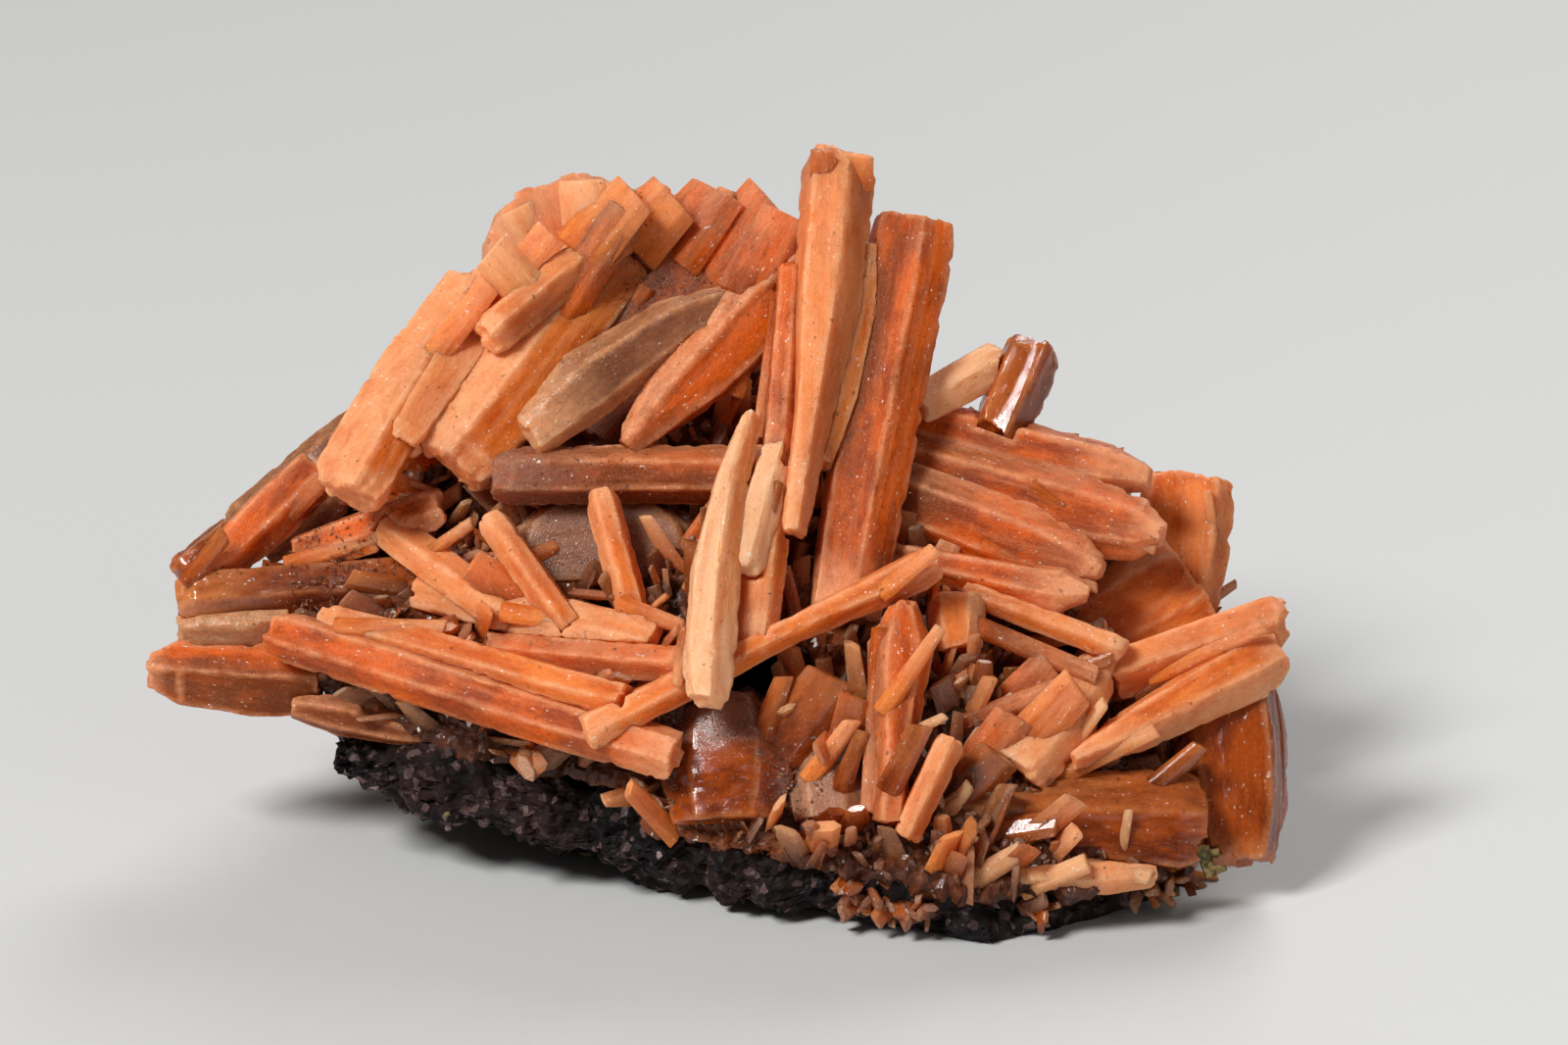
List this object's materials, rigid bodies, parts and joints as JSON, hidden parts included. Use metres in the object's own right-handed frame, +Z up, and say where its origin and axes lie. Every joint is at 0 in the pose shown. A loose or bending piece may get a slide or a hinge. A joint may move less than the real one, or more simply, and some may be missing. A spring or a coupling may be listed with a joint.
{
  "type": "barite on matrix",
  "caption": "Barite specimen: a spray of orange lath and blade crystals on a bed of fine crystals over dark granular rock, cut flat underneath to rest on.",
  "frame": {"origin": "Middle of the part's bounding box in plan, on the cut underside.", "axes": "+Z up, +X to the right of the front view and along the length, +Y to the back."},
  "size_m": [0.075, 0.0434, 0.0449],
  "materials": {
    "peach": "waxy translucent crystal, peach with an orange core",
    "orange": "translucent crystal, deep orange with pale edges",
    "smoky": "translucent crystal, smoky brown",
    "red": "glossy translucent crystal, dark red-brown",
    "pale": "milky translucent crystal, cream to pale pink",
    "druse": "glittering coat of fine crystals, purple-brown",
    "rock": "rough granular rock, purple-black"
  },
  "bodies": {
    "root": {"tall_prism": "peach", "tall_plate": "orange", "front_blade": "pale", "prism_right_splinter": "pale", "prism_left_splinter": "orange", "glinting_lath": "pale", "prism_foot_lath": "peach", "fan_outer_lath": "peach", "fan_upper_lath": "peach", "fan_third_lath": "peach", "fan_second_lath": "peach", "fan_back_plate": "pale", "fan_inner_plate": "orange", "fan_right_plate": "orange", "smoky_blade": "smoky", "orange_blade": "orange", "shelf_plate": "orange", "arched_plate": "smoky", "left_needle": "peach", "right_needle": "peach", "long_front_lath": "peach", "front_upper_lath": "peach", "slanting_front_lath": "peach", "flat_orange_lath": "orange", "flat_front_plate": "peach", "flat_left_plate": "peach", "left_orange_tongue": "orange", "left_brown_plate": "smoky", "left_red_end": "red", "left_inner_blade": "orange", "left_broken_crystal": "red", "left_upper_lobe": "pale", "left_tip_crystal": "smoky", "underside_blade": "smoky", "red_prism": "red", "pale_ridge_lath": "pale", "top_right_plate": "peach", "second_right_plate": "orange", "third_right_plate": "smoky", "low_right_plate": "smoky", "thin_right_lath": "peach", "big_back_plate": "orange", "low_back_plate": "smoky", "dark_end_prism": "red", "right_long_lath": "peach", "right_upper_lath": "peach", "right_broad_blade": "orange", "glossy_crystal": "red", "pale_bottom_blade": "pale", "red_centre_blade": "orange", "upright_front_lath": "peach", "block_crystal": "peach", "druse_plate": "druse", "pale_low_plate": "pale", "back_left_plate": "smoky", "back_middle_plate": "orange", "back_right_lath": "peach", "back_low_blade": "orange", "matrix_rock": "rock", "druse_bed": "druse"}
  },
  "joints": []
}
